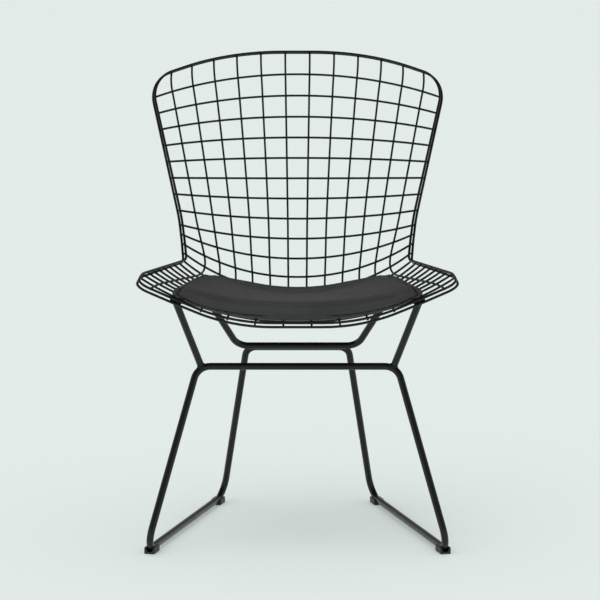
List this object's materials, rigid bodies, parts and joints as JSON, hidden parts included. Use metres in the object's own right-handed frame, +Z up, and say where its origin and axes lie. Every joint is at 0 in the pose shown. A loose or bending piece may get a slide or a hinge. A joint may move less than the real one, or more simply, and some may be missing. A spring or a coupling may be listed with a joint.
{
  "type": "wire mesh chair",
  "caption": "Side chair with a one-piece welded wire mesh back and seat on a bent rod sled base, with a thin leather seat pad and plastic floor glides.",
  "frame": {"origin": "centre of the bounding box at floor level, under the glides", "axes": "+Z up, the chair faces -Y, +X to the right of someone who looks at its front"},
  "size_m": [0.542, 0.5824, 0.8266],
  "materials": {
    "wire_coating": "black powder coat, satin",
    "rod_coating": "black powder coat, satin",
    "screw_steel": "black oxide",
    "glide_plastic": "matte black nylon",
    "pad_leather": "black leather, fine grain",
    "pad_foam": "open-cell foam",
    "strap_leather": "black leather strap",
    "stud_metal": "black press stud"
  },
  "bodies": {
    "root": {"clamp_cap_front_left": "rod_coating", "clamp_cap_front_right": "rod_coating", "clamp_cap_rear_left": "rod_coating", "clamp_cap_rear_right": "rod_coating", "clamp_screws": "screw_steel", "front_strut_left": "rod_coating", "front_strut_right": "rod_coating", "glide_front_left": "glide_plastic", "glide_front_right": "glide_plastic", "glide_rear_left": "glide_plastic", "glide_rear_right": "glide_plastic", "lateral_wire_01": "wire_coating", "lateral_wire_02": "wire_coating", "lateral_wire_03": "wire_coating", "lateral_wire_04": "wire_coating", "lateral_wire_05": "wire_coating", "lateral_wire_06": "wire_coating", "lateral_wire_07": "wire_coating", "lateral_wire_08": "wire_coating", "lateral_wire_09": "wire_coating", "lateral_wire_10": "wire_coating", "lateral_wire_11": "wire_coating", "lateral_wire_12": "wire_coating", "lateral_wire_13": "wire_coating", "lateral_wire_14": "wire_coating", "lateral_wire_15": "wire_coating", "lateral_wire_16": "wire_coating", "lateral_wire_17": "wire_coating", "lateral_wire_18": "wire_coating", "lateral_wire_19": "wire_coating", "lateral_wire_20": "wire_coating", "lateral_wire_21": "wire_coating", "lateral_wire_22": "wire_coating", "longitudinal_wire_01": "wire_coating", "longitudinal_wire_02": "wire_coating", "longitudinal_wire_03": "wire_coating", "longitudinal_wire_04": "wire_coating", "longitudinal_wire_05": "wire_coating", "longitudinal_wire_06": "wire_coating", "longitudinal_wire_07": "wire_coating", "longitudinal_wire_08": "wire_coating", "longitudinal_wire_09": "wire_coating", "longitudinal_wire_10": "wire_coating", "longitudinal_wire_11": "wire_coating", "longitudinal_wire_12": "wire_coating", "mount_plate_front_left": "rod_coating", "mount_plate_front_right": "rod_coating", "mount_plate_rear_left": "rod_coating", "mount_plate_rear_right": "rod_coating", "pad_cover": "pad_leather", "pad_foam": "pad_foam", "pad_straps": "strap_leather", "rear_strut_frame": "rod_coating", "rim_wire_inner": "wire_coating", "rim_wire_outer": "wire_coating", "sled_frame": "rod_coating", "strap_studs": "stud_metal"}
  },
  "joints": []
}
